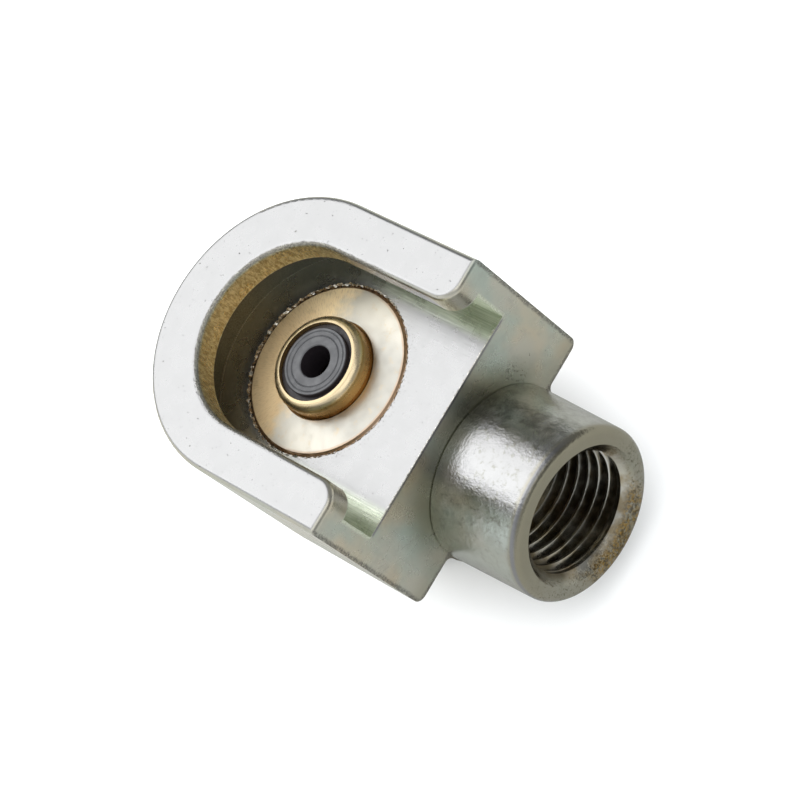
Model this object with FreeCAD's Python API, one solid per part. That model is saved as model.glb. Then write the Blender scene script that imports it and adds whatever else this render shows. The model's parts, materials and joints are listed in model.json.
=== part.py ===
import FreeCAD, Part
import math
import os

# Hook-on grease coupler for 16 mm button-head nipples, with a G 1/8 hose inlet.
# Frame: origin at the centre of the channel floor, where the button head seats.
# +Z leaves through the slot, +X leaves through the threaded inlet. Millimetres.

V = FreeCAD.Vector
X_AXIS = V(1, 0, 0)
Z_AXIS = V(0, 0, 1)
OVERCUT = 1.0                 # how far a cutter runs past the face it opens
SAME = 1e-4                   # two lengths closer than this are the same length

# head block: a U in plan, half round at the closed end and flat at the mouth
BLOCK_RADIUS = 10.1
BLOCK_ARC_X = -0.55
FRONT_X = 10.4
TOP_Z = 5.25
THREAD_Z = -8.1               # inlet axis, level with the block's lower edge
TOP_EDGE_RADIUS = 0.4
LOWER_EDGE_RADIUS = 0.7

# T slot that hooks the button head
SLOT_ARC_X = -0.25
CHANNEL_RADIUS = 8.25
LIP_UNDER_Z = 3.25
NECK_RADIUS = 6.6

# lower housing around the plunger and the inlet passage
BARREL_RADIUS = 8.0
BARREL_TOP_Z = -2.0           # inside the block
BARREL_BOTTOM_Z = -16.1
BARREL_EDGE_RADIUS = 1.2
KEEL_RADIUS = 6.4
ROOT_BLEND = 0.55             # hollow corner where the block meets the housing and the keel

# bores in the body
PISTON_BORE = 4.6
CHAMBER_BOTTOM_Z = -13.6
RING_DEPTH = 3.0
SPIGOT_RADIUS = 5.3
SPIGOT_END_X = 7.4
POCKET_RADIUS = 1.9
POCKET_END_X = 5.4
PORT_RADIUS = 1.0

# knurled retaining ring
RING_RADIUS = 6.17
RING_BORE = 3.49
KNURL_TEETH = 72
KNURL_DEPTH = 0.16
KNURL_LAND = 0.3              # half of a tooth's uncut width, as a share of the pitch
RING_CHAMFER = 0.12
RING_FACE_CHAMFER = 0.26      # leaves an open groove round the ring's face

# plunger and its seals
NOSE_RADIUS = 3.45
NOSE_TOP_Z = 1.48
NOSE_ROUND = 0.6
SEAL_POCKET_RADIUS = 2.82
SEAL_POCKET_Z = -0.9
PLUNGER_HOLE = 1.0
PISTON_RADIUS = 4.56
PISTON_TOP_Z = -3.02
PISTON_BOTTOM_Z = -6.6
GROOVE_TOP_Z = -4.1
GROOVE_BOTTOM_Z = -6.0
GROOVE_RADIUS = 3.35
PILOT_RADIUS = 2.75
PILOT_END_Z = -7.8
SEAL_RADIUS = 2.8
SEAL_HOLE = 1.15
SEAL_TOP_Z = 1.5
SEAL_BOTTOM_Z = -0.88
SEAL_RIM_RADIUS = 2.42        # outside this the seal is sunken below the brass
SEAL_RIM_DEPTH = 0.4
SEAL_LINE_RADII = (2.17, 1.82)
SEAL_LINE_DEPTH = 0.06
SEAL_BEVEL = 0.06
ORING_SECTION = 0.6
BACKUP_THICKNESS = 0.6
SOFT_GAP = 0.02               # room left around each soft ring

# plunger spring
SPRING_MEAN_RADIUS = 3.3
SPRING_WIRE = 0.325
SPRING_TURNS = 4.5
COIL_END_PULL = 0.25          # how strongly a coil's end turns are drawn flat
COIL_SAMPLES = 16             # points on each turn

# threaded inlet nipple, G 1/8
NIPPLE_END_X = 18.0
NIPPLE_ROOT_RADIUS = 6.3
NIPPLE_END_RADIUS = 6.15
SPIGOT_CHAMFER = 0.3
SEAM_CHAMFER = 0.07           # the fine groove where the nipple meets the body
END_ROUND = 0.5
MOUTH_RADIUS = 4.95
THREAD_MINOR = 4.283
THREAD_MAJOR = 4.864
THREAD_PITCH = 0.907
THREAD_FLANK = math.radians(27.5)
THREAD_FLAT = THREAD_PITCH / 6
THREAD_PHASE_X = 16.3         # a crest passes here on the +Y side
THREAD_RUNOUT_X = 11.3
THREAD_WALL_X = 10.88         # the tapping drill's wall is plain below here
THREAD_LEAD_X = 17.1          # and again in a narrow land inside the mouth
THREAD_OPENING = 0.01         # the tapped stretch opens by this much toward the mouth
THREAD_OVERLAP = 0.08         # the groove's cutter begins this far inside the wall
THREAD_BORE_END_X = 10.45
SEAT_STEP_X = 9.56
SEAT_STEP_RADIUS = 1.5
SEAT_RADIUS = 2.6

# inlet check
SEAT_FRONT_X = 8.66
SEAT_HOLE = 0.85
BALL_RADIUS = 1.2
BALL_GAP = 0.01
CHECK_SPRING_RADIUS = 0.8
CHECK_SPRING_WIRE = 0.09
CHECK_SPRING_TURNS = 2.5


def u_outline(radius, arc_x, end_x, z):
    """Closed wire: half circle at the closed end, straight sides to end_x."""
    side = V(arc_x, radius, z)
    other = V(arc_x, -radius, z)
    back = V(arc_x - radius, 0, z)
    arc = Part.Arc(side, back, other).toShape()
    lower = Part.makeLine(other, V(end_x, -radius, z))
    front = Part.makeLine(V(end_x, -radius, z), V(end_x, radius, z))
    upper = Part.makeLine(V(end_x, radius, z), side)
    return Part.Wire([arc, lower, front, upper])


def u_prism(radius, arc_x, end_x, z0, z1):
    return Part.Face(u_outline(radius, arc_x, end_x, z0)).extrude(V(0, 0, z1 - z0))


def turned(points, axis_point, axis, rounds=()):
    """Solid of revolution from (along, radius) points. Rounds are (point index, radius) pairs."""
    flat = [V(r, 0, a) for a, r in points]
    wire = Part.makePolygon(flat + [flat[0]])
    solid = Part.Face(wire).revolve(V(0, 0, 0), Z_AXIS, 360)
    for index, radius in rounds:
        along, reach = points[index]
        solid = solid.makeFillet(radius, circle_edges(solid, along, reach))
    solid.Placement = FreeCAD.Placement(axis_point, FreeCAD.Rotation(Z_AXIS, axis))
    return solid


def circle_edges(solid, along, reach):
    """The circular edges of that radius at that height on the Z axis."""
    found = []
    for edge in solid.Edges:
        curve = edge.Curve
        if isinstance(curve, Part.Circle) and abs(curve.Radius - reach) < SAME:
            if abs(curve.Center.z - along) < SAME:
                found.append(edge)
    return found


def edges_at_height(solid, z):
    """Edges that lie wholly at one height."""
    box_of = [(edge, edge.BoundBox) for edge in solid.Edges]
    return [edge for edge, box in box_of if abs(box.ZMin - z) < SAME and abs(box.ZMax - z) < SAME]


def behind_front(edge):
    """True for an edge that doesn't lie in the block's front plane."""
    return edge.BoundBox.XMin < FRONT_X - SAME


def cylinder(radius, start, end):
    """Cylinder between two points on one axis."""
    way = end.sub(start)
    return Part.makeCylinder(radius, way.Length, start, way)


def on_plunger(z):
    return V(0, 0, z)


def on_inlet(x):
    return V(x, 0, THREAD_Z)


def neck_cutter():
    """The slot between the lips, with the corners at the mouth rounded out to the channel's width."""
    z = LIP_UNDER_Z
    flare = CHANNEL_RADIUS - NECK_RADIUS
    start_x = FRONT_X - flare
    end_x = FRONT_X + OVERCUT
    bend = flare * (1 - math.sqrt(0.5))
    edges = [Part.Arc(V(SLOT_ARC_X, NECK_RADIUS, z), V(SLOT_ARC_X - NECK_RADIUS, 0, z),
                      V(SLOT_ARC_X, -NECK_RADIUS, z)).toShape()]
    for side in (-1, 1):
        inner = V(start_x, side * NECK_RADIUS, z)
        outer = V(FRONT_X, side * CHANNEL_RADIUS, z)
        middle = V(FRONT_X - bend, side * (NECK_RADIUS + bend), z)
        edges.append(Part.makeLine(V(SLOT_ARC_X, side * NECK_RADIUS, z), inner))
        edges.append(Part.Arc(inner, middle, outer).toShape())
        edges.append(Part.makeLine(outer, V(end_x, side * CHANNEL_RADIUS, z)))
    edges.append(Part.makeLine(V(end_x, -CHANNEL_RADIUS, z), V(end_x, CHANNEL_RADIUS, z)))
    wire = Part.Wire(Part.__sortEdges__(edges))
    return Part.Face(wire).extrude(V(0, 0, TOP_Z + OVERCUT - z))


def channel_cutter():
    """The wide part of the T slot."""
    return u_prism(CHANNEL_RADIUS, SLOT_ARC_X, FRONT_X + OVERCUT, 0, LIP_UNDER_Z)


def coupler_body():
    """Steel block with the T slot, the round housing under it and the keel that carries the inlet."""
    block = u_prism(BLOCK_RADIUS, BLOCK_ARC_X, FRONT_X, THREAD_Z, TOP_Z)
    lower = edges_at_height(block, THREAD_Z)
    block = block.makeFillet(LOWER_EDGE_RADIUS, [edge for edge in lower if behind_front(edge)])
    head = block.cut(neck_cutter())
    head = head.makeFillet(TOP_EDGE_RADIUS, edges_at_height(head, TOP_Z))
    head = head.cut(channel_cutter())
    barrel = cylinder(BARREL_RADIUS, on_plunger(BARREL_BOTTOM_Z), on_plunger(BARREL_TOP_Z))
    barrel = barrel.makeFillet(BARREL_EDGE_RADIUS, circle_edges(barrel, BARREL_BOTTOM_Z, BARREL_RADIUS))
    keel = cylinder(KEEL_RADIUS, on_inlet(0), on_inlet(FRONT_X))
    solid = head.fuse([barrel, keel]).removeSplitter()
    lower = edges_at_height(solid, THREAD_Z)
    root = [edge for edge in lower if behind_front(edge) and edge.BoundBox.YMax < BARREL_RADIUS + SAME]
    solid = solid.makeFillet(ROOT_BLEND, root)
    bores = [
        cylinder(RING_RADIUS, on_plunger(-RING_DEPTH), on_plunger(OVERCUT)),
        cylinder(PISTON_BORE, on_plunger(CHAMBER_BOTTOM_Z), on_plunger(0)),
        cylinder(SPIGOT_RADIUS, on_inlet(SPIGOT_END_X), on_inlet(FRONT_X + OVERCUT)),
        cylinder(POCKET_RADIUS, on_inlet(POCKET_END_X), on_inlet(FRONT_X)),
        cylinder(PORT_RADIUS, on_inlet(0), on_inlet(FRONT_X)),
    ]
    return solid.cut(bores)


def knurled_blank():
    """A straight-knurled disc: lands at full radius with a V groove between each two."""
    step = 2 * math.pi / KNURL_TEETH
    valley = RING_RADIUS - KNURL_DEPTH
    outline = []
    for tooth in range(KNURL_TEETH):
        for offset, radius in ((-KNURL_LAND, RING_RADIUS), (KNURL_LAND, RING_RADIUS), (0.5, valley)):
            angle = (tooth + offset) * step
            outline.append(V(radius * math.cos(angle), radius * math.sin(angle), -RING_DEPTH))
    return Part.Face(Part.makePolygon(outline + [outline[0]])).extrude(V(0, 0, RING_DEPTH))


def retainer_ring():
    """Brass ring pressed into the channel floor. It holds the plunger in."""
    cut = RING_CHAMFER
    face_cut = RING_FACE_CHAMFER
    lathe = turned([(-RING_DEPTH, RING_BORE + cut), (-RING_DEPTH, RING_RADIUS - cut),
                    (-RING_DEPTH + cut, RING_RADIUS), (-face_cut, RING_RADIUS), (0, RING_RADIUS - face_cut),
                    (0, RING_BORE + cut), (-cut, RING_BORE), (cut - RING_DEPTH, RING_BORE)],
                   on_plunger(0), Z_AXIS)
    return knurled_blank().common(lathe)


def plunger():
    """Brass piston: nose through the ring, head below it, groove for the seals, pilot for the spring."""
    nose_corner = (NOSE_TOP_Z, NOSE_RADIUS)
    profile = [(PILOT_END_Z, PLUNGER_HOLE), (PILOT_END_Z, PILOT_RADIUS), (PISTON_BOTTOM_Z, PILOT_RADIUS),
               (PISTON_BOTTOM_Z, PISTON_RADIUS), (GROOVE_BOTTOM_Z, PISTON_RADIUS),
               (GROOVE_BOTTOM_Z, GROOVE_RADIUS), (GROOVE_TOP_Z, GROOVE_RADIUS),
               (GROOVE_TOP_Z, PISTON_RADIUS), (PISTON_TOP_Z, PISTON_RADIUS), (PISTON_TOP_Z, NOSE_RADIUS),
               nose_corner, (NOSE_TOP_Z, SEAL_POCKET_RADIUS),
               (SEAL_POCKET_Z, SEAL_POCKET_RADIUS), (SEAL_POCKET_Z, PLUNGER_HOLE)]
    return turned(profile, on_plunger(0), Z_AXIS, rounds=[(profile.index(nose_corner), NOSE_ROUND)])


def nose_seal():
    """Rubber disc in the plunger's nose, with a sunken rim, two fine moulding lines and a central hole."""
    top = SEAL_TOP_Z
    rim_z = top - SEAL_RIM_DEPTH
    bevel = SEAL_BEVEL
    depth = SEAL_LINE_DEPTH
    profile = [(SEAL_BOTTOM_Z, SEAL_HOLE), (SEAL_BOTTOM_Z, SEAL_RADIUS), (rim_z, SEAL_RADIUS),
               (rim_z, SEAL_RIM_RADIUS), (top - bevel, SEAL_RIM_RADIUS), (top, SEAL_RIM_RADIUS - bevel)]
    for radius in SEAL_LINE_RADII:
        profile += [(top, radius + depth), (top - depth, radius), (top, radius - depth)]
    profile += [(top, SEAL_HOLE + bevel), (top - bevel, SEAL_HOLE)]
    return turned(profile, on_plunger(0), Z_AXIS)


def backup_ring():
    """Flat ring on the pressure-free side of the O-ring."""
    top = GROOVE_TOP_Z - SOFT_GAP
    bottom = top - BACKUP_THICKNESS
    inner = GROOVE_RADIUS + SOFT_GAP
    return turned([(bottom, inner), (bottom, PISTON_RADIUS), (top, PISTON_RADIUS), (top, inner)],
                  on_plunger(0), Z_AXIS)


def piston_oring():
    middle = (GROOVE_RADIUS + PISTON_BORE) / 2
    return Part.makeTorus(middle, ORING_SECTION, on_plunger(GROOVE_BOTTOM_Z + ORING_SECTION + SOFT_GAP))


def coil(mean_radius, wire_radius, turns, length):
    """Compression spring along +Z from the origin, its end turns drawn flat."""
    samples = int(turns * COIL_SAMPLES)
    lift = length - 2 * wire_radius
    points = []
    for i in range(samples + 1):
        share = i / samples
        angle = 2 * math.pi * turns * share
        pull = COIL_END_PULL * math.sin(2 * math.pi * share) / (2 * math.pi)
        height = wire_radius + lift * (share - pull)
        points.append(V(mean_radius * math.cos(angle), mean_radius * math.sin(angle), height))
    path = Part.BSplineCurve()
    path.interpolate(points)
    way = path.tangent(path.FirstParameter)[0]
    section = Part.Wire([Part.makeCircle(wire_radius, points[0], way)])
    sweep = Part.BRepOffsetAPI.MakePipeShell(Part.Wire([path.toShape()]))
    sweep.setBiNormalMode(Z_AXIS)
    sweep.add(section)
    sweep.build()
    sweep.makeSolid()
    return sweep.shape()


def plunger_spring():
    spring = coil(SPRING_MEAN_RADIUS, SPRING_WIRE, SPRING_TURNS, PISTON_BOTTOM_Z - CHAMBER_BOTTOM_Z)
    spring.translate(on_plunger(CHAMBER_BOTTOM_Z))
    return spring


def ball_x():
    """Ball centre when it rests on the edge of the seat's hole."""
    return SEAT_FRONT_X - math.sqrt(BALL_RADIUS ** 2 - SEAT_HOLE ** 2) - BALL_GAP


def check_spring():
    """Small spring between the ball and the end of its pocket."""
    touch = ball_x() - math.sqrt(BALL_RADIUS ** 2 - CHECK_SPRING_RADIUS ** 2) - BALL_GAP
    spring = coil(CHECK_SPRING_RADIUS, CHECK_SPRING_WIRE, CHECK_SPRING_TURNS, touch - POCKET_END_X)
    spring.Placement = FreeCAD.Placement(on_inlet(POCKET_END_X), FreeCAD.Rotation(Z_AXIS, X_AXIS))
    return spring


def check_ball():
    return Part.makeSphere(BALL_RADIUS, on_inlet(ball_x()))


def check_seat():
    return turned([(SEAT_FRONT_X, SEAT_HOLE), (SEAT_FRONT_X, SEAT_RADIUS),
                   (SEAT_STEP_X, SEAT_RADIUS), (SEAT_STEP_X, SEAT_HOLE)], on_inlet(0), X_AXIS)


def thread_groove():
    """One V groove wound along the inlet; its crests are left at the minor radius."""
    crests = math.floor((THREAD_PHASE_X - THREAD_RUNOUT_X) / THREAD_PITCH)
    begin_x = THREAD_PHASE_X - (crests + 0.5) * THREAD_PITCH
    turns = math.ceil((NIPPLE_END_X - begin_x) / THREAD_PITCH) + 1
    helix = Part.makeHelix(THREAD_PITCH, turns * THREAD_PITCH, THREAD_MINOR)
    inner = THREAD_MINOR - THREAD_OVERLAP
    outer_half = THREAD_FLAT / 2
    inner_half = outer_half + (THREAD_MAJOR - inner) * math.tan(THREAD_FLANK)
    corners = [V(inner, 0, -inner_half), V(THREAD_MAJOR, 0, -outer_half),
               V(THREAD_MAJOR, 0, outer_half), V(inner, 0, inner_half)]
    sweep = Part.BRepOffsetAPI.MakePipeShell(Part.Wire(helix))
    sweep.setFrenetMode(True)
    sweep.add(Part.makePolygon(corners + [corners[0]]))
    sweep.build()
    sweep.makeSolid()
    groove = sweep.shape()
    # the helix starts on the +Y side, half a pitch from a crest
    turn = FreeCAD.Rotation(V(0, 1, 0), V(0, 0, 1), X_AXIS, "ZXY")
    groove.Placement = FreeCAD.Placement(on_inlet(begin_x), turn)
    return groove.common(cylinder(NIPPLE_END_RADIUS, on_inlet(THREAD_WALL_X), on_inlet(THREAD_LEAD_X)))


def nipple_blank():
    """Turned outside: spigot, fine seam groove, slightly tapered barrel with a rounded end."""
    end_corner = (NIPPLE_END_X, NIPPLE_END_RADIUS)
    seam = SEAM_CHAMFER
    profile = [(SPIGOT_END_X, SEAT_RADIUS), (SPIGOT_END_X, SPIGOT_RADIUS - SPIGOT_CHAMFER),
               (SPIGOT_END_X + SPIGOT_CHAMFER, SPIGOT_RADIUS), (FRONT_X, SPIGOT_RADIUS),
               (FRONT_X, NIPPLE_ROOT_RADIUS - seam), (FRONT_X + seam, NIPPLE_ROOT_RADIUS), end_corner,
               (NIPPLE_END_X, SEAT_STEP_RADIUS), (SEAT_STEP_X, SEAT_STEP_RADIUS), (SEAT_STEP_X, SEAT_RADIUS)]
    return turned(profile, on_inlet(0), X_AXIS, rounds=[(profile.index(end_corner), END_ROUND)])


def inlet_nipple():
    """Hose inlet with its thread, a 45 degree mouth and a step that holds the check's seat."""
    wide = THREAD_MINOR + THREAD_OPENING
    mouth_depth = MOUTH_RADIUS - THREAD_MINOR
    tapped = Part.makeCone(THREAD_MINOR, wide, THREAD_LEAD_X - THREAD_WALL_X, on_inlet(THREAD_WALL_X), X_AXIS)
    mouth = Part.makeCone(THREAD_MINOR, MOUTH_RADIUS + OVERCUT, mouth_depth + OVERCUT,
                          on_inlet(NIPPLE_END_X - mouth_depth), X_AXIS)
    nipple = nipple_blank()
    nipple = nipple.cut(cylinder(THREAD_MINOR, on_inlet(THREAD_BORE_END_X), on_inlet(THREAD_WALL_X)))
    nipple = nipple.cut(tapped)
    nipple = nipple.cut(cylinder(wide, on_inlet(THREAD_LEAD_X), on_inlet(NIPPLE_END_X)))
    return nipple.cut(thread_groove()).cut(mouth)


PIECES = {
    "coupler_body": coupler_body,
    "inlet_nipple": inlet_nipple,
    "retainer_ring": retainer_ring,
    "plunger": plunger,
    "nose_seal": nose_seal,
    "backup_ring": backup_ring,
    "piston_oring": piston_oring,
    "plunger_spring": plunger_spring,
    "check_seat": check_seat,
    "check_ball": check_ball,
    "check_spring": check_spring,
}

os.makedirs("parts", exist_ok=True)
for name, make in PIECES.items():
    shape = make()
    if len(shape.Solids) == 1:
        shape = shape.Solids[0]
    print(name, shape.ShapeType, "valid", shape.isValid(), "volume", round(shape.Volume, 2))
    shape.exportStep("parts/" + name + ".step")
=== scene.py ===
import json
import math
import random

import bmesh
import bpy
from mathutils import Matrix, Vector


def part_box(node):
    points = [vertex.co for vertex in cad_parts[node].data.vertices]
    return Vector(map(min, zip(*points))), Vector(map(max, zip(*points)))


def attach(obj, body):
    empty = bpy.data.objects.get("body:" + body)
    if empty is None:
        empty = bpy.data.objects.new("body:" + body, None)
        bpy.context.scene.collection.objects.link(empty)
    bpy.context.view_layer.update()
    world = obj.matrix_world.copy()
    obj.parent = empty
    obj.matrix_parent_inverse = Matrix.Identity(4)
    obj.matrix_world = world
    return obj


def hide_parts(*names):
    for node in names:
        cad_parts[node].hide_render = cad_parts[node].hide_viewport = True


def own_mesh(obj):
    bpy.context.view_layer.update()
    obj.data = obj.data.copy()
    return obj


# A hook-on grease coupler standing on a pale studio floor. Everything is in metres, in the
# row frame: origin at the centre of the channel floor, +X out of the inlet, +Z out of the slot.

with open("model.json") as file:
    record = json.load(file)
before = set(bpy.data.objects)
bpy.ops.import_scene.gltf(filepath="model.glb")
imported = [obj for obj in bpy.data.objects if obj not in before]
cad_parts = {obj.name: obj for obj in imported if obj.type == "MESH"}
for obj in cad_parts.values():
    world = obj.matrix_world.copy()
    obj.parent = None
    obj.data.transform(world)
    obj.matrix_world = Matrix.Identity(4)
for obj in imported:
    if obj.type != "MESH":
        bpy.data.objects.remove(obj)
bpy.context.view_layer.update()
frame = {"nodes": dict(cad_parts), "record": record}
nodes = frame["nodes"]
MM = 0.001
random.seed(7)

# places taken from the frame, in millimetres
mounts = {m["name"]: m for m in frame["record"]["mounts"]}
THREAD_Z = mounts["inlet_thread"]["pos_m"][2] / MM
INLET_END_X = mounts["inlet_face"]["pos_m"][0] / MM
BODY_LOW, BODY_HIGH = [Vector(corner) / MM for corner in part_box("coupler_body")]
RING_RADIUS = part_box("retainer_ring")[1][0] / MM
FRONT_X = BODY_HIGH.x
TOP_Z = BODY_HIGH.z
HALF_WIDTH = BODY_HIGH.y

# the T slot: its half-round end, the half widths of its neck and of its channel, and the channel's height
SLOT_ARC_X = -0.25
NECK_RADIUS = 6.6
CHANNEL_RADIUS = 8.25
CHANNEL_TOP = 3.25

# the two springs: wire radii in millimetres, turns, and how finely the coils are drawn
PLUNGER_WIRE = 0.325
PLUNGER_TURNS = 4.5
CHECK_WIRE = 0.09
CHECK_TURNS = 2.5
COIL_STEPS_PER_TURN = 48
WIRE_SIDES = 14
END_TURN_CLIMB = 0.9          # climb over a closed end turn, in wire radii
GROUND_SHARE = 0.35           # wire radii ground off each end

# torn ridges, in millimetres
RING_BURR_STEPS = 300
RING_BURR_OFFSET = 0.04       # outside the ring
EDGE_BURR_STEPS = 150
EDGE_BURR_INSET = 0.04        # behind the front face

# the studio, in metres
FLOOR_SIZE = 1.6
LAMP_DISTANCE = 0.5

CAMERA_PLACE = Vector((138.1, -15.86, 159.6)) * MM
CAMERA_TARGET = Vector((4.01, 0.78, -3.22)) * MM
CAMERA_ROLL = math.radians(-53.58)
CAMERA_LENS = 144.42
VIEW_WAY = (CAMERA_TARGET - CAMERA_PLACE).normalized()


# ---------------------------------------------------------------- shader helpers

class Shader:
    """A small wrapper that makes node materials readable. Lengths in its textures are in mm."""

    def __init__(self, name):
        self.material = bpy.data.materials.new(name)
        self.material.use_nodes = True
        self.tree = self.material.node_tree
        self.tree.nodes.clear()
        self.output = self.tree.nodes.new("ShaderNodeOutputMaterial")
        self.bsdf = self.tree.nodes.new("ShaderNodeBsdfPrincipled")
        self.link(self.bsdf.outputs["BSDF"], self.output.inputs["Surface"])
        place = self.tree.nodes.new("ShaderNodeTexCoord")
        self.mm = self.scaled(place.outputs["Object"], (1 / MM, 1 / MM, 1 / MM))
        self.x, self.y, self.z = self.split(self.mm)

    def link(self, a, b):
        self.tree.links.new(a, b)

    def put(self, socket, value):
        if isinstance(value, bpy.types.NodeSocket):
            self.link(value, socket)
        else:
            socket.default_value = value

    def scaled(self, vector, scale):
        node = self.tree.nodes.new("ShaderNodeVectorMath")
        node.operation = "MULTIPLY"
        self.link(vector, node.inputs[0])
        node.inputs[1].default_value = scale
        return node.outputs[0]

    def split(self, vector):
        node = self.tree.nodes.new("ShaderNodeSeparateXYZ")
        self.link(vector, node.inputs[0])
        return node.outputs

    def join(self, x, y, z):
        node = self.tree.nodes.new("ShaderNodeCombineXYZ")
        for socket, value in zip(node.inputs, (x, y, z)):
            self.put(socket, value)
        return node.outputs[0]

    def math(self, operation, a, b=0.0):
        node = self.tree.nodes.new("ShaderNodeMath")
        node.operation = operation
        self.put(node.inputs[0], a)
        self.put(node.inputs[1], b)
        return node.outputs[0]

    def times(self, first, *others):
        for other in others:
            first = self.math("MULTIPLY", first, other)
        return first

    def noise(self, scale, detail=2.0, vector=None, stretch=None, rough=0.5, distortion=0.0):
        source = self.mm if vector is None else vector
        if stretch:
            source = self.scaled(source, stretch)
        node = self.tree.nodes.new("ShaderNodeTexNoise")
        self.link(source, node.inputs["Vector"])
        node.inputs["Scale"].default_value = scale
        node.inputs["Detail"].default_value = detail
        node.inputs["Roughness"].default_value = rough
        node.inputs["Distortion"].default_value = distortion
        return node.outputs[0]

    def cells(self, scale):
        node = self.tree.nodes.new("ShaderNodeTexVoronoi")
        self.link(self.mm, node.inputs["Vector"])
        node.inputs["Scale"].default_value = scale
        return node.outputs["Distance"]

    def fit(self, value, low, high, to_low=0.0, to_high=1.0):
        """Maps low..high to to_low..to_high, smoothly and clamped."""
        node = self.tree.nodes.new("ShaderNodeMapRange")
        node.interpolation_type = "SMOOTHSTEP"
        if low > high:
            low, high, to_low, to_high = high, low, to_high, to_low
        for name, number in (("From Min", low), ("From Max", high), ("To Min", to_low), ("To Max", to_high)):
            self.put(node.inputs[name], number)
        self.link(value, node.inputs["Value"])
        return node.outputs[0]

    def mix(self, factor, a, b):
        node = self.tree.nodes.new("ShaderNodeMix")
        node.data_type = "RGBA"
        self.put(node.inputs["Factor"], factor)
        colours = [s for s in node.inputs if s.type == "RGBA"]
        for socket, value in zip(colours, (a, b)):
            self.put(socket, value if isinstance(value, bpy.types.NodeSocket) else (*value, 1.0))
        return [s for s in node.outputs if s.type == "RGBA"][0]

    def bump(self, height, distance_mm, strength=1.0, under=None):
        node = self.tree.nodes.new("ShaderNodeBump")
        node.inputs["Strength"].default_value = strength
        node.inputs["Distance"].default_value = distance_mm * MM
        self.link(height, node.inputs["Height"])
        if under is not None:
            self.link(under, node.inputs["Normal"])
        return node.outputs["Normal"]

    def facing(self, x, y, z):
        """How squarely the surface faces a direction of the row frame."""
        place = self.tree.nodes.new("ShaderNodeNewGeometry")
        node = self.tree.nodes.new("ShaderNodeVectorMath")
        node.operation = "DOT_PRODUCT"
        self.link(place.outputs["Normal"], node.inputs[0])
        node.inputs[1].default_value = (x, y, z)
        return node.outputs["Value"]

    def radius_from(self, a, b):
        return self.math("SQRT", self.math("ADD", self.times(a, a), self.times(b, b)))

    def u_distance(self, arc_x):
        """Distance from the middle line of a U that is half round on its -X side."""
        back = self.math("MINIMUM", self.math("SUBTRACT", self.x, arc_x), 0.0)
        return self.radius_from(back, self.y)

    def finish(self, colour, roughness, normal=None, metallic=1.0, **others):
        self.put(self.bsdf.inputs["Base Color"], colour if isinstance(colour, bpy.types.NodeSocket)
                 else (*colour, 1.0))
        self.put(self.bsdf.inputs["Roughness"], roughness)
        self.put(self.bsdf.inputs["Metallic"], metallic)
        for name, value in others.items():
            self.put(self.bsdf.inputs[name.replace("_", " ")], value)
        if normal is not None:
            self.link(normal, self.bsdf.inputs["Normal"])
        return self.material


# ---------------------------------------------------------------- materials

def plate_clouds(s, front):
    """Zinc plate with tan, blue and smoky clouds. The tints are weaker off the front face."""
    tint = s.fit(front, 0.0, 1.0, 0.35, 1.0)
    tan = s.fit(s.noise(0.26, 2.0, rough=0.4), 0.38, 0.66)
    blue = s.fit(s.noise(0.31, 2.0, stretch=(1.0, 1.2, 0.8), rough=0.4), 0.42, 0.70)
    smoke = s.fit(s.noise(1.1, 5.0, rough=0.65), 0.45, 0.75)
    colour = s.mix(s.times(tan, tint), (0.61, 0.60, 0.52), (0.70, 0.61, 0.46))
    colour = s.mix(s.times(blue, tint, 0.8), colour, (0.49, 0.58, 0.53))
    return s.mix(s.times(smoke, 0.35), colour, (0.42, 0.42, 0.38))


def front_shades(s, colour, front, height, across):
    """The front is darker round the nipple's root, a painted shade where the nipple's dark reflection falls,
    darker low down and just under the channel's floor, and a little darker all over, a painted shade that
    tones down the front lamp.
    """
    root = s.times(s.fit(s.radius_from(s.y, height), 9.0, 6.6), s.fit(height, -1.0, 4.0), front)
    low = s.times(s.fit(height, 2.2, 0.2), front)
    sill = s.times(s.fit(s.z, -0.30, -0.12), s.fit(s.z, 0.1, 0.0),
                   s.fit(across, CHANNEL_RADIUS, CHANNEL_RADIUS - 0.3), front)
    # painted shade round the nipple's root, where its dark reflection falls on the front
    colour = s.mix(s.times(root, 0.85), colour, (0.31, 0.32, 0.25))
    colour = s.mix(s.times(low, 0.5), colour, (0.40, 0.38, 0.29))
    colour = s.mix(s.times(sill, 0.8), colour, (0.22, 0.21, 0.25))
    # the whole front a little darker: painted shade that tones down the front lamp
    return s.mix(s.times(front, 0.15), colour, (0.10, 0.09, 0.05))


def dark_edges(s, grain, front, height, across, reach):
    """Dark, grainy bands along the rim of the front and along the top edge of the slot; the slot's band is
    painted shade of its rounded edge.
    """
    wander = s.times(s.math("SUBTRACT", s.noise(2.5, 3.0), 0.5), 0.22)
    coarse = s.fit(grain, 0.35, 0.6)
    side_gap = s.math("SUBTRACT", HALF_WIDTH, across)
    rim_gap = s.math("ADD", s.math("MINIMUM", side_gap, height), wander)
    near_rim = s.times(s.fit(rim_gap, 0.38, 0.16), front)
    from_slot = s.math("ADD", reach, wander)
    # painted shade along the slot's rounded top edge, broken up by grain
    near_slot = s.times(s.fit(from_slot, NECK_RADIUS + 0.30, NECK_RADIUS + 0.20),
                        s.fit(s.z, TOP_Z - 0.45, TOP_Z - 0.3), s.fit(s.x, 5.5, 3.5))
    slot_edge_shade = s.times(near_slot, s.fit(coarse, 0.0, 1.0, 0.35, 0.85))
    return s.math("MAXIMUM", s.times(near_rim, coarse), slot_edge_shade)


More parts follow.
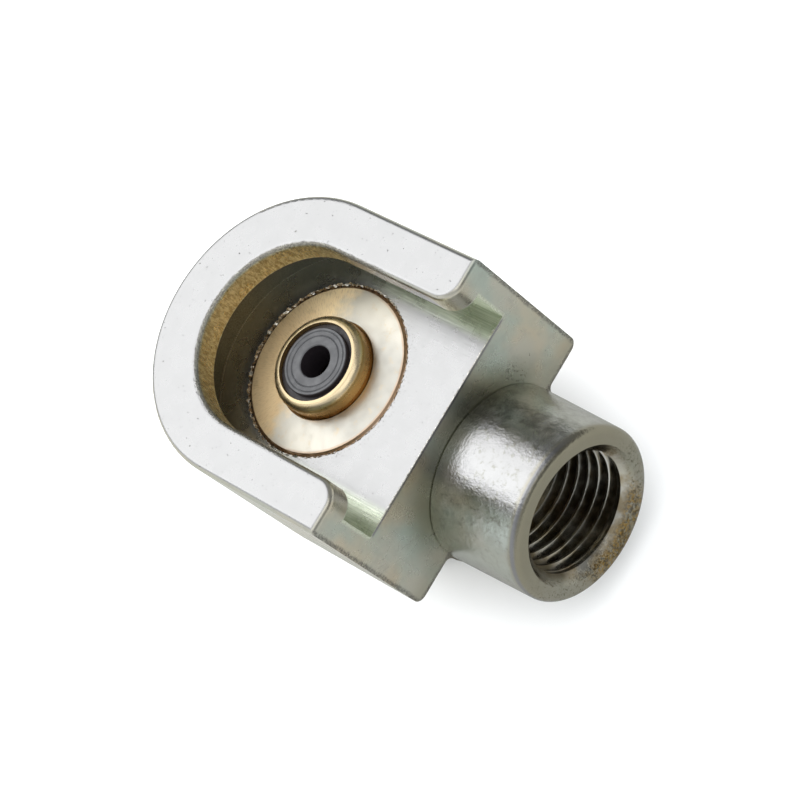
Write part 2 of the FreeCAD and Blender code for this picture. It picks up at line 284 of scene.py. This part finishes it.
def block_marks(s, front):
    """Pits and nicks all over, and a patch of small scuffs on the front beside the nipple's root."""
    pits = s.fit(s.noise(3.4, 3.0, rough=0.6), 0.70, 0.76)
    nicks = s.fit(s.noise(9.0, 2.0, rough=0.6), 0.72, 0.80)
    marks = s.math("MAXIMUM", pits, s.times(nicks, 0.7))
    scuff_place = s.radius_from(s.math("SUBTRACT", s.y, 5.6), s.math("SUBTRACT", s.z, -4.2))
    scuff_noise = s.noise(4.6, 4.0, stretch=(1.0, 1.0, 0.6), rough=0.7)
    scuffs = s.times(s.fit(scuff_place, 1.7, 0.5), s.fit(scuff_noise, 0.55, 0.62), front)
    return s.math("MAXIMUM", marks, scuffs)


def floor_dust(s, flat):
    """Dust trodden into the channel's floor beside the ring, on the mouth side."""
    ring_gap = s.math("SUBTRACT", s.radius_from(s.x, s.y), RING_RADIUS)
    speckle = s.fit(s.noise(5.0, 5.0, rough=0.75), 0.55, 0.64)
    return s.times(s.fit(ring_gap, 0.9, 0.1), speckle, s.fit(s.x, 2.5, 4.5), flat)


def channel_colours(s, colour, streaks, inside, wall, ceiling, flat, reach):
    """Brown closed end and pale green sides in the channel, both drawn out along the milling streaks; the
    brown is painted shade under the lip. The lip's underside is painted light, and the floor under the lips
    is painted with their reflection, cream at the closed end and olive toward the mouth.
    """
    open_side = s.fit(s.x, -1.5, 2.0)
    far_side = s.fit(s.y, 0.5, 5.5)
    green = s.mix(streaks, (0.50, 0.54, 0.42), (0.74, 0.77, 0.66))
    # the closed end's brown is painted shade under the lip, a little lighter toward +Y
    brown = s.mix(streaks, (0.075, 0.062, 0.036), (0.125, 0.108, 0.070))
    brown = s.mix(s.times(far_side, 0.5), brown, (0.15, 0.16, 0.14))
    colour = s.mix(wall, colour, s.mix(open_side, brown, green))
    # painted light: the lip's underside is pale, as if lit from the floor below
    colour = s.mix(s.times(ceiling, 0.9), colour, (0.80, 0.82, 0.74))
    # painted reflection of the lips on the floor under them: cream at the closed end, olive toward the mouth
    side_floor = s.times(inside, flat, s.fit(reach, NECK_RADIUS - 0.6, NECK_RADIUS + 0.3))
    olive = s.mix(streaks, (0.50, 0.56, 0.43), (0.72, 0.77, 0.64))
    end_floor = s.mix(far_side, (1.0, 0.90, 0.66), (0.74, 0.76, 0.68))
    return s.mix(side_floor, colour, s.mix(open_side, end_floor, olive))


def lip_masks(s, up, across, reach):
    """The lip's inner wall, and the parts of it painted gold: its closed end, where the gold is a painted
    reflection of the brass ring, and its mouth.
    """
    upright = s.times(s.fit(up, 0.6, 0.3), s.fit(s.z, CHANNEL_TOP - 0.02, CHANNEL_TOP + 0.02))
    gap = s.math("ABSOLUTE", s.math("SUBTRACT", reach, NECK_RADIUS))
    lip = s.times(s.fit(gap, 0.16, 0.06), upright)
    flare = s.times(s.fit(s.x, FRONT_X - 2.5, FRONT_X - 1.3), s.fit(s.x, FRONT_X - 0.3, FRONT_X - 0.9),
                    s.fit(across, CHANNEL_RADIUS + 0.3, CHANNEL_RADIUS), upright, 0.85)
    # gold at the closed end: a painted reflection of the brass ring
    gold_wall = s.math("MAXIMUM", s.times(lip, s.fit(s.x, 2.0, -1.0)), flare)
    return lip, gold_wall


def zinc_block():
    """Bright zinc plate on the machined block, with painted light and shade on its faces and in the slot's
    milled inside.
    """
    s = Shader("zinc_block")
    up = s.facing(0, 0, 1)
    flat = s.fit(up, 0.80, 0.96)
    front = s.fit(s.x, FRONT_X - 0.2, FRONT_X - 0.05)
    height = s.math("SUBTRACT", s.z, THREAD_Z)
    across = s.math("ABSOLUTE", s.y)
    reach = s.u_distance(SLOT_ARC_X)
    grain = s.noise(7.0, 4.0, rough=0.7)
    lines = s.noise(1.0, 4.0, stretch=(0.25, 9.0, 9.0), rough=0.7)
    crystals = s.cells(5.0)
    feathers = s.noise(1.0, 4.0, stretch=(5.0, 5.0, 1.6), rough=0.75, distortion=0.6)

    inside = s.times(s.fit(reach, CHANNEL_RADIUS + 0.3, CHANNEL_RADIUS + 0.1),
                     s.fit(s.z, CHANNEL_TOP + 0.1, CHANNEL_TOP))
    ceiling = s.times(inside, s.fit(up, -0.7, -0.9), s.fit(s.z, CHANNEL_TOP - 0.1, CHANNEL_TOP - 0.05))
    wall = s.times(inside, s.fit(up, 0.5, 0.2), s.fit(up, -0.5, -0.2), s.fit(s.z, -0.1, 0.05))
    edge = dark_edges(s, grain, front, height, across, reach)
    marks = block_marks(s, front)
    lip, gold_wall = lip_masks(s, up, across, reach)

    colour = front_shades(s, plate_clouds(s, front), front, height, across)
    # up-facing faces get a darker neutral base, a painted shade that holds the key light's reflection down to
    # a dull white
    colour = s.mix(flat, colour, (0.365, 0.365, 0.365))
    # dark bands along the front's rim, and painted shade along the slot's top edge
    colour = s.mix(s.times(edge, 0.75), colour, (0.17, 0.16, 0.15))
    colour = s.mix(s.times(marks, 0.8), colour, (0.16, 0.15, 0.12))
    colour = s.mix(s.times(floor_dust(s, flat), 0.7), colour, (0.13, 0.12, 0.11))
    streaks = s.fit(lines, 0.35, 0.65)
    colour = channel_colours(s, colour, streaks, inside, wall, ceiling, flat, reach)
    # the lip's inner wall dark grey, then gold: at the closed end a painted reflection of the brass ring, and
    # at the mouth's flare
    colour = s.mix(s.times(lip, 0.8), colour, (0.28, 0.28, 0.32))
    gold = s.mix(s.fit(feathers, 0.40, 0.62), (0.50, 0.44, 0.25), (0.86, 0.81, 0.55))
    colour = s.mix(gold_wall, colour, gold)

    normal = s.bump(s.noise(11.0, 3.0, rough=0.65), 0.004, 0.5)
    normal = s.bump(s.times(lines, inside), 0.02, 0.5, normal)
    normal = s.bump(s.times(feathers, gold_wall), 0.06, 0.6, normal)
    normal = s.bump(s.times(crystals, gold_wall), 0.05, 0.6, normal)
    normal = s.bump(marks, -0.04, 0.6, normal)
    normal = s.bump(s.times(grain, edge), 0.05, 0.8, normal)
    plain_roughness = s.fit(s.noise(0.8, 2.0), 0.3, 0.7, 0.26, 0.31)
    roughness = s.math("ADD", plain_roughness, s.times(s.math("ADD", wall, ceiling), 0.16))
    return s.finish(colour, roughness, normal)


def turned_outside(s, mottle):
    """The nipple's outside: mottled plate, with painted shade: a greyer, darker crown that holds its
    highlight down, dark blotches beside it, darker edge-on and at the root.
    """
    up = s.facing(0, 0, 1)
    cloud = s.noise(0.35, 3.0)
    green = s.fit(s.noise(0.28, 1.0), 0.50, 0.62)
    colour = s.mix(s.fit(cloud, 0.42, 0.65), (0.60, 0.61, 0.56), (0.55, 0.54, 0.46))
    colour = s.mix(s.times(green, 0.6), colour, (0.50, 0.57, 0.51))
    # painted shade: the crown gets a darker neutral base that holds the key light's highlight down
    colour = s.mix(s.fit(up, 0.86, 0.94), colour, (0.375, 0.375, 0.375))
    # painted shade: dark blotches on the bands beside the crown, more on the +Y side
    flank_shade = s.times(s.fit(up, 0.95, 0.86), s.fit(up, 0.30, 0.62), s.fit(s.y, -1.0, 1.0, 0.35, 1.0))
    blotches = s.fit(s.noise(0.9, 5.0, rough=0.7), 0.42, 0.60)
    colour = s.mix(s.times(flank_shade, blotches, 0.6), colour, (0.20, 0.20, 0.165))
    colour = s.mix(s.fit(mottle, 0.50, 0.70, 0.0, 0.7), colour, (0.24, 0.24, 0.20))
    # painted shade on the nipple's sides toward +Y and -Y
    edge_on_shade = s.fit(s.math("ABSOLUTE", s.y), 3.6, 5.2)
    colour = s.mix(s.times(edge_on_shade, 0.5), colour, (0.36, 0.36, 0.32))
    # painted shade at the root, where the nipple meets the block
    root = s.times(s.fit(s.x, FRONT_X + 2.2, FRONT_X + 0.3), s.fit(s.y, -3.0, 2.0))
    return s.mix(s.times(root, 0.45), colour, (0.22, 0.22, 0.17))


def mouth_colours(s, colour, rim, rust, low, height, reach):
    """Rust and soot specks on the mouth's flat rim, which is darker, most toward its top, and a painted
    bluish reflection on its rounded outer edge.
    """
    colour = s.mix(s.times(rim, s.fit(height, -3.0, 3.5, 0.6, 0.95)), colour, (0.29, 0.27, 0.20))
    colour = s.mix(s.times(rust, 0.95), colour, (0.42, 0.26, 0.06))
    soot_noise = s.math("ADD", s.noise(4.2, 6.0, rough=0.8), s.times(low, 0.06))
    soot = s.times(rim, s.fit(height, 2.5, -2.5), s.fit(soot_noise, 0.54, 0.61))
    colour = s.mix(s.times(soot, 0.85), colour, (0.09, 0.07, 0.04))
    # painted bluish reflection on the rounded outer edge
    rounded = s.fit(s.math("ABSOLUTE", s.math("SUBTRACT", s.x, INLET_END_X - 0.34)), 0.22, 0.06)
    shade = s.times(rounded, s.fit(reach, 5.5, 5.8), s.fit(s.y, 4.5, 1.5))
    return s.mix(s.times(shade, 0.65), colour, (0.25, 0.26, 0.30))


def thread_colours(s, bore_shade, reach):
    """Greasy brown threads, painted darker on the -Y side as shade, with painted highlights on the crests on
    the +Y side.
    """
    grease = s.fit(s.noise(0.9, 3.0), 0.35, 0.65)
    dark = s.mix(grease, (0.56, 0.54, 0.47), (0.36, 0.30, 0.20))
    # painted shade inside the bore on its -Y side
    dark = s.mix(s.times(bore_shade, 0.75), dark, (0.07, 0.06, 0.035))
    # painted highlights on the crests on the +Y side
    crest_highlight = s.times(s.fit(reach, 4.42, 4.33), s.fit(s.y, -0.5, 3.6, 0.0, 0.9),
                    s.fit(s.x, INLET_END_X - 0.7, INLET_END_X - 1.1))
    return s.mix(crest_highlight, dark, (0.84, 0.84, 0.80))


def zinc_turned():
    """The turned nipple: mottled plate outside with painted shade, specks on its rim, greasy threads with
    painted shade on their -Y side and painted highlights on their crests.
    """
    s = Shader("zinc_turned")
    height = s.math("SUBTRACT", s.z, THREAD_Z)
    reach = s.radius_from(s.y, height)
    mottle = s.noise(1.9, 5.0, rough=0.68)
    fine = s.noise(6.0, 3.0, rough=0.6)
    rings = s.noise(1.0, 3.0, vector=s.join(s.times(s.x, 9.0), s.times(reach, 9.0), 0.0))
    rim = s.times(s.fit(s.x, INLET_END_X - 0.9, INLET_END_X - 0.3), s.fit(reach, 4.2, 4.7))
    low = s.times(s.fit(height, 1.5, -2.5), s.fit(s.math("ABSOLUTE", s.math("SUBTRACT", s.y, 0.4)), 4.2, 2.0))
    rust = s.times(rim, low, s.fit(s.noise(0.9, 2.0), 0.30, 0.45),
                   s.fit(s.noise(4.0, 6.0, rough=0.8), 0.42, 0.54))
    bore = s.times(s.fit(reach, 4.98, 4.88), s.fit(s.x, INLET_END_X, INLET_END_X - 0.6))
    outside = s.math("SUBTRACT", 1.0, bore)
    # painted shade inside the bore on its -Y side
    bore_shade = s.times(s.fit(s.y, 1.5, -2.0), s.fit(height, -3.4, -2.0))

    colour = mouth_colours(s, turned_outside(s, mottle), rim, rust, low, height, reach)
    colour = s.mix(bore, colour, thread_colours(s, bore_shade, reach))
    normal = s.bump(s.times(mottle, outside), 0.07, 0.5)
    normal = s.bump(s.times(fine, outside), 0.02, 0.6, normal)
    normal = s.bump(rings, 0.008, 0.4, normal)
    normal = s.bump(rust, 0.03, 0.5, normal)
    plain_roughness = s.fit(s.noise(1.4, 4.0), 0.35, 0.7, 0.15, 0.26)
    roughness = s.math("ADD", plain_roughness, s.times(bore_shade, bore, 0.3))
    return s.finish(colour, roughness, normal)


def brass_ring():
    """Turned brass face, painted as shaded and lit copies: tan where the lip shades it from the key light,
    pale toward the mouth where it mirrors the key light.
    """
    s = Shader("brass_ring")
    reach = s.radius_from(s.x, s.y)
    wander = s.times(s.math("SUBTRACT", s.noise(0.8, 4.0), 0.5), 3.0)
    # the mouth side mirrors the key light and is painted as the lit copy; the lip's shade keeps the rest tan
    key_lit = s.fit(s.math("ADD", s.x, wander), -2.4, -0.5)
    # painted light: the lit copy is paler where the lips' shade falls in its reflection
    shaded = s.fit(s.math("ABSOLUTE", s.y), 2.4, 5.0)
    pale = s.mix(shaded, (0.38, 0.37, 0.335), (0.54, 0.515, 0.45))
    angle = s.math("ARCTAN2", s.y, s.x)
    radial = s.noise(1.0, 4.0, vector=s.join(s.times(angle, 70.0), s.times(reach, 2.2), 0.0), rough=0.7)
    # tan is the shaded copy, paler toward +Y
    tan = s.mix(s.fit(s.y, 1.0, 4.5), (0.80, 0.62, 0.37), (1.0, 0.82, 0.52))
    tan = s.mix(s.times(s.fit(radial, 0.45, 0.68), 0.5), tan, (0.56, 0.40, 0.22))
    colour = s.mix(key_lit, tan, pale)
    stain = s.fit(s.noise(1.1, 5.0, rough=0.7), 0.54, 0.70)
    colour = s.mix(s.times(stain, 0.35), colour, (0.50, 0.36, 0.18))
    mouth_side = s.fit(s.x, -2.0, 3.0)
    tarnish = s.fit(s.math("ADD", reach, s.times(wander, 0.06)), RING_RADIUS - 0.46, RING_RADIUS - 0.30)
    colour = s.mix(s.times(tarnish, mouth_side, 0.7), colour, (0.40, 0.27, 0.17))
    # painted shade in the ring's outer chamfer, darker on the lip side
    edge = s.fit(reach, RING_RADIUS - 0.28, RING_RADIUS - 0.22)
    colour = s.mix(s.times(edge, 0.85), colour, s.mix(mouth_side, (0.24, 0.14, 0.07), (0.42, 0.28, 0.18)))
    turning = s.noise(1.0, 3.0, vector=s.join(s.times(reach, 14.0), 0.0, 0.0), rough=0.7)
    normal = s.bump(turning, 0.003, 0.4)
    normal = s.bump(radial, 0.02, 0.5, normal)
    plain_roughness = s.fit(s.noise(1.2, 3.0), 0.35, 0.7, 0.30, 0.40)
    roughness = s.math("ADD", plain_roughness, s.fit(key_lit, 0.0, 1.0, 0.20, 0.0))
    return s.finish(colour, roughness, normal)


def brass_plunger():
    """Handled brass with turning rings round the nose, with painted light and shade: a pale painted highlight
    on the rounded shoulder, a darker top that holds the key light down, a darker foot that is a painted
    reflection of the brass ring, and a bore painted near black as shade.
    """
    s = Shader("brass_plunger")
    reach = s.radius_from(s.x, s.y)
    up = s.facing(0, 0, 1)
    colour = s.mix(s.fit(s.noise(0.9, 3.0), 0.4, 0.7), (0.86, 0.60, 0.25), (0.80, 0.50, 0.18))
    # painted highlight: the rounded shoulder is paler where it faces up
    colour = s.mix(s.fit(up, 0.25, 0.60), colour, (0.90, 0.75, 0.49))
    # painted shade: the flat top is darker, holding the key light's reflection down
    colour = s.mix(s.fit(up, 0.86, 0.96), colour, (0.52, 0.42, 0.26))
    # the darker orange foot is a painted reflection of the brass ring
    foot = s.fit(s.z, 1.0, 0.5)
    colour = s.mix(s.times(foot, 0.85), colour, (0.86, 0.48, 0.16))
    # the bore is painted near black, a painted shade in the hole
    colour = s.mix(s.fit(reach, 1.3, 1.1), colour, (0.02, 0.018, 0.015))
    turning = s.noise(1.0, 3.0, vector=s.join(s.times(reach, 10.0), s.times(s.z, 10.0), 0.0))
    normal = s.bump(turning, 0.008, 0.5)
    roughness = s.fit(s.noise(1.6, 3.0), 0.35, 0.7, 0.26, 0.34)
    return s.finish(colour, roughness, normal)


def rubber():
    """Black nitrile rubber with fine moulded circles, dusty flecks and a dull sheen."""
    s = Shader("rubber")
    reach = s.radius_from(s.x, s.y)
    circles = s.noise(1.0, 2.0, vector=s.join(s.times(reach, 8.0), 0.0, 0.0))
    dust = s.fit(s.noise(4.0, 3.0, rough=0.7), 0.68, 0.73)
    colour = s.mix(s.fit(s.noise(1.5, 3.0), 0.4, 0.7), (0.070, 0.071, 0.075), (0.095, 0.096, 0.10))
    colour = s.mix(s.times(dust, 0.6), colour, (0.5, 0.5, 0.48))
    # the sunken ring and the centre hole are painted near black, a painted shade in the recesses
    sunken = s.times(s.fit(reach, 2.34, 2.40), s.fit(s.z, -1.2, -1.0))
    hole = s.times(s.fit(reach, 1.24, 1.20), s.fit(s.facing(0, 0, 1), 0.6, 0.4))
    recess_shade = s.math("MAXIMUM", sunken, hole)
    colour = s.mix(s.times(recess_shade, 0.9), colour, (0.012, 0.008, 0.010))
    normal = s.bump(circles, 0.02, 0.6)
    normal = s.bump(s.noise(14.0, 2.0), 0.008, 0.5, normal)
    roughness = s.fit(s.noise(2.5, 3.0), 0.35, 0.7, 0.40, 0.55)
    shine = s.fit(hole, 0.0, 1.0, 0.5, 0.05)
    return s.finish(colour, roughness, normal, metallic=0.0, Specular_IOR_Level=shine)


def drawn_wire():
    """Spring wire: grey steel with drawing marks and an oily film."""
    s = Shader("drawn_wire")
    colour = s.mix(s.fit(s.noise(1.2, 4.0), 0.4, 0.7), (0.42, 0.42, 0.43), (0.24, 0.23, 0.22))
    normal = s.bump(s.noise(12.0, 3.0, stretch=(1.0, 1.0, 5.0)), 0.01, 0.5)
    return s.finish(colour, s.fit(s.noise(3.0, 2.0), 0.3, 0.7, 0.22, 0.4), normal)


def polished_ball():
    """Bearing-steel ball with a few hairline marks."""
    s = Shader("polished_ball")
    marks = s.fit(s.noise(3.0, 4.0, distortion=1.5), 0.62, 0.68)
    colour = s.mix(marks, (0.62, 0.62, 0.64), (0.45, 0.45, 0.46))
    return s.finish(colour, s.fit(marks, 0.0, 1.0, 0.08, 0.2), s.bump(marks, -0.004, 0.5))


def white_ptfe():
    """Waxy white backup ring, slightly translucent and stained by grease."""
    s = Shader("white_ptfe")
    stain = s.fit(s.noise(1.6, 4.0), 0.5, 0.75)
    colour = s.mix(stain, (0.80, 0.80, 0.77), (0.62, 0.56, 0.42))
    normal = s.bump(s.noise(8.0, 2.0), 0.01, 0.4)
    roughness = s.fit(s.noise(4.0, 2.0), 0.3, 0.7, 0.35, 0.5)
    return s.finish(colour, roughness, normal, metallic=0.0, Subsurface_Weight=0.1)


def burr_steel():
    """Freshly torn, bright zinc-plated steel on the burrs and staked edges."""
    s = Shader("burr_steel")
    colour = s.mix(s.fit(s.noise(5.0, 3.0), 0.4, 0.65), (1.0, 0.97, 0.88), (0.50, 0.44, 0.32))
    tanned = s.times(s.fit(s.x, 1.0, 4.0), s.fit(s.x, FRONT_X - 1.0, FRONT_X - 2.0))
    colour = s.mix(tanned, colour, (0.40, 0.29, 0.19))
    roughness = s.fit(s.noise(6.0, 2.0), 0.3, 0.7, 0.18, 0.4)
    return s.finish(colour, roughness, s.bump(s.noise(12.0, 2.0), 0.03, 0.7))


def studio_floor():
    """Pale matt floor. Polished metal sees it darker than the camera does, as if it ended at a black flag."""
    s = Shader("studio_floor")
    path = s.tree.nodes.new("ShaderNodeLightPath")
    paper = s.mix(s.fit(s.noise(0.05, 4.0), 0.3, 0.7), (0.90, 0.90, 0.90), (0.93, 0.93, 0.925))
    colour = s.mix(path.outputs["Is Glossy Ray"], paper, (0.40, 0.40, 0.385))
    return s.finish(colour, 0.9, s.bump(s.noise(0.6, 3.0), 0.02, 0.2), metallic=0.0, Specular_IOR_Level=0.1)


def paint(name, material):
    piece = nodes[name]
    if not piece.material_slots:
        piece.data.materials.append(material)
    for slot in piece.material_slots:
        slot.link = "OBJECT"
        slot.material = material


# ---------------------------------------------------------------- the studio

def softbox(name, direction, width, height, radiance):
    """An area light of a given radiance, in metres, that faces the origin from a direction."""
    data = bpy.data.lights.new(name, "AREA")
    data.shape = "RECTANGLE"
    data.size = width
    data.size_y = height
    data.energy = radiance * math.pi * width * height
    lamp = bpy.data.objects.new(name, data)
    bpy.context.scene.collection.objects.link(lamp)
    way = Vector(direction).normalized()
    lamp.location = way * LAMP_DISTANCE
    lamp.rotation_euler = (-way).to_track_quat("-Z", "Y").to_euler()


def set_floor():
    under_body = (0, 0, BODY_LOW.z * MM)
    bpy.ops.mesh.primitive_grid_add(x_subdivisions=8, y_subdivisions=8, size=FLOOR_SIZE, location=under_body)
    floor = bpy.context.object
    floor.name = "studio_floor"
    floor.data.materials.append(studio_floor())


def set_world():
    """A white room for the eye and for matt surfaces. Metal sees a dimmer one, dimmest toward +Y."""
    world = bpy.data.worlds.new("studio")
    bpy.context.scene.world = world
    world.use_nodes = True
    tree = world.node_tree
    background = tree.nodes["Background"]
    background.inputs["Color"].default_value = (0.96, 0.98, 1.0, 1.0)
    coordinate = tree.nodes.new("ShaderNodeTexCoord")
    path = tree.nodes.new("ShaderNodeLightPath")

    def toward(direction, low, high, to_low, to_high):
        dot = tree.nodes.new("ShaderNodeVectorMath")
        dot.operation = "DOT_PRODUCT"
        tree.links.new(coordinate.outputs["Generated"], dot.inputs[0])
        dot.inputs[1].default_value = Vector(direction).normalized()
        ramp = tree.nodes.new("ShaderNodeMapRange")
        ramp.interpolation_type = "SMOOTHSTEP"
        for name, number in (("From Min", low), ("From Max", high), ("To Min", to_low), ("To Max", to_high)):
            ramp.inputs[name].default_value = number
        tree.links.new(dot.outputs["Value"], ramp.inputs["Value"])
        return ramp.outputs[0]

    def join(operation, a, b):
        node = tree.nodes.new("ShaderNodeMath")
        node.operation = operation
        for socket, value in zip(node.inputs, (a, b)):
            if isinstance(value, bpy.types.NodeSocket):
                tree.links.new(value, socket)
            else:
                socket.default_value = value
        return node.outputs[0]

    sides = toward((0, -1, 0.2), -0.6, 0.7, 0.26, 0.85)
    behind_camera = toward(-VIEW_WAY, 0.35, 0.85, 1.0, 0.60)
    seen_by_metal = join("MULTIPLY", sides, behind_camera)
    glossy = path.outputs["Is Glossy Ray"]
    plain = join("MULTIPLY", join("SUBTRACT", 1.0, glossy), 1.5)
    strength = join("ADD", join("MULTIPLY", glossy, seen_by_metal), plain)
    tree.links.new(strength, background.inputs["Strength"])


def set_camera():
    data = bpy.data.cameras.new("camera")
    data.sensor_width = 36
    data.lens = CAMERA_LENS
    data.clip_start = 0.005
    data.clip_end = 10
    camera = bpy.data.objects.new("camera", data)
    bpy.context.scene.collection.objects.link(camera)
    right = VIEW_WAY.cross(Vector((0, 0, 1))).normalized()
    up = right.cross(VIEW_WAY)
    tilted_up = math.cos(CAMERA_ROLL) * up - math.sin(CAMERA_ROLL) * right
    tilted_right = VIEW_WAY.cross(tilted_up)
    turn = Matrix((tilted_right, tilted_up, -VIEW_WAY)).transposed()
    camera.matrix_world = Matrix.Translation(CAMERA_PLACE) @ turn.to_4x4()
    bpy.context.scene.camera = camera


# ---------------------------------------------------------------- fine pieces

def mesh_piece(name, points, faces, material, body, smooth=True):
    """A mesh from points in mm and faces. It rides on a body and takes the finish it is given."""
    mesh = bpy.data.meshes.new(name)
    mesh.from_pydata([Vector(p) * MM for p in points], [], faces)
    mesh.validate()
    builder = bmesh.new()
    builder.from_mesh(mesh)
    bmesh.ops.recalc_face_normals(builder, faces=builder.faces)
    builder.to_mesh(mesh)
    builder.free()
    for face in mesh.polygons:
        face.use_smooth = smooth
    mesh.materials.append(material)
    piece = bpy.data.objects.new(name, mesh)
    bpy.context.scene.collection.objects.link(piece)
    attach(piece, body)
    return piece


def tube(rows, closed):
    """Points and faces of a skin over rows of points, each row a ring of the same length."""
    width = len(rows[0])
    faces = []
    last = len(rows) if closed else len(rows) - 1
    for i in range(last):
        a, b = i * width, ((i + 1) % len(rows)) * width
        for k in range(width):
            faces.append((a + k, a + (k + 1) % width, b + (k + 1) % width, b + k))
    if not closed:
        faces.append(tuple(reversed(range(width))))
        faces.append(tuple(range((len(rows) - 1) * width, len(rows) * width)))
    return [p for row in rows for p in row], faces


def burr(name, path, closed, width, height, material, body):
    """A torn ridge along a path of (point, sideways, up): a little wedge whose width and height wander."""
    rows = []
    for point, side, up in path:
        wide = width * random.uniform(0.35, 1.25)
        tall = height * random.choice((0.15, 0.4, 0.7, 1.0, 1.3))
        lean = random.uniform(-0.3, 0.3) * width
        rows.append([point - side * wide * 0.5 - up * 0.05,
                     point + side * (lean - wide * 0.12) + up * tall,
                     point + side * (lean + wide * 0.12) + up * tall * random.uniform(0.6, 1.0),
                     point + side * wide * 0.5 - up * 0.05])
    points, faces = tube(rows, closed)
    mesh_piece(name, points, faces, material, body, smooth=False)


def ring_path(radius, steps):
    path = []
    for i in range(steps):
        angle = 2 * math.pi * i / steps
        out = Vector((math.cos(angle), math.sin(angle), 0))
        size = 1.25 - 0.55 * out.x
        path.append((out * (radius + random.uniform(-0.03, 0.03)), out * size, Vector((0, 0, size))))
    return path


def front_edge_path(steps):
    reach = CHANNEL_RADIUS - 0.85
    path = []
    for i in range(steps + 1):
        y = -reach + 2 * reach * i / steps
        path.append((Vector((FRONT_X - EDGE_BURR_INSET, y, 0)), Vector((1, 0, 0)), Vector((0, 0, 1))))
    return path


def coil_piece(name, node, radius, wire, turns, start, way, length, material):
    """A compression spring of round wire with its end turns closed and ground flat."""
    steps = int(turns * COIL_STEPS_PER_TURN)
    side = Vector((0, 1, 0)) if abs(way.x) > 0.5 else Vector((1, 0, 0))
    other = way.cross(side)
    closed_share = 1.0 / turns
    rows = []
    for i in range(steps + 1):
        share = i / steps
        angle = 2 * math.pi * turns * share
        inner = min(max((share - closed_share) / (1 - 2 * closed_share), 0.0), 1.0)
        height = wire + (length - 2 * wire) * inner
        closing = min(share, closed_share) + max(share - 1 + closed_share, 0.0) - closed_share
        height += wire * END_TURN_CLIMB * closing
        out = side * math.cos(angle) + other * math.sin(angle)
        centre = start + way * height + out * radius
        row = []
        for k in range(WIRE_SIDES):
            turn = 2 * math.pi * k / WIRE_SIDES
            point = centre + out * (wire * math.cos(turn)) + way * (wire * math.sin(turn))
            along = (point - start).dot(way)
            ground = min(max(along, wire * GROUND_SHARE), length - wire * GROUND_SHARE)
            point += way * (ground - along)
            row.append(point)
        rows.append(row)
    points, faces = tube(rows, False)
    piece = mesh_piece(name, points, faces, material, "housing")
    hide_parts(node)
    return piece


# ---------------------------------------------------------------- put together

wire_steel = drawn_wire()
brass_face = brass_ring()
black_rubber = rubber()
for node_name, material in (("coupler_body", zinc_block()), ("inlet_nipple", zinc_turned()),
                            ("retainer_ring", brass_face), ("plunger", brass_plunger()),
                            ("nose_seal", black_rubber), ("piston_oring", black_rubber),
                            ("backup_ring", white_ptfe()), ("check_ball", polished_ball()),
                            ("plunger_spring", wire_steel), ("check_spring", wire_steel),
                            ("check_seat", brass_face)):
    paint(node_name, material)

for node_name, wire, turns, joint_name, way in (
        ("plunger_spring", PLUNGER_WIRE, PLUNGER_TURNS, "plunger_press", Vector((0, 0, 1))),
        ("check_spring", CHECK_WIRE, CHECK_TURNS, "check_lift", Vector((1, 0, 0)))):
    low, high = [Vector(corner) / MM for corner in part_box(node_name)]
    length = (high - low).dot(way)
    start = (low + high) / 2 - way * length / 2
    mean_radius = (high - low).y / 2 - wire
    coiled = coil_piece(node_name + "_coil", node_name, mean_radius, wire, turns, start, way, length,
                        wire_steel)
    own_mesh(coiled)

torn = burr_steel()
burr("ring_stake_burr", ring_path(RING_RADIUS + RING_BURR_OFFSET, RING_BURR_STEPS), closed=True,
     width=0.15, height=0.07, material=torn, body="housing")
burr("front_edge_burr", front_edge_path(EDGE_BURR_STEPS), closed=False,
     width=0.07, height=0.03, material=torn, body="housing")

set_floor()
set_world()
softbox("key", direction=(-0.545, 0.012, 0.839), width=0.50, height=0.62, radiance=1.8)
softbox("front", direction=(0.42, 0.05, 0.90), width=0.44, height=0.44, radiance=0.8)
set_camera()
bpy.context.scene.view_settings.view_transform = "Standard"
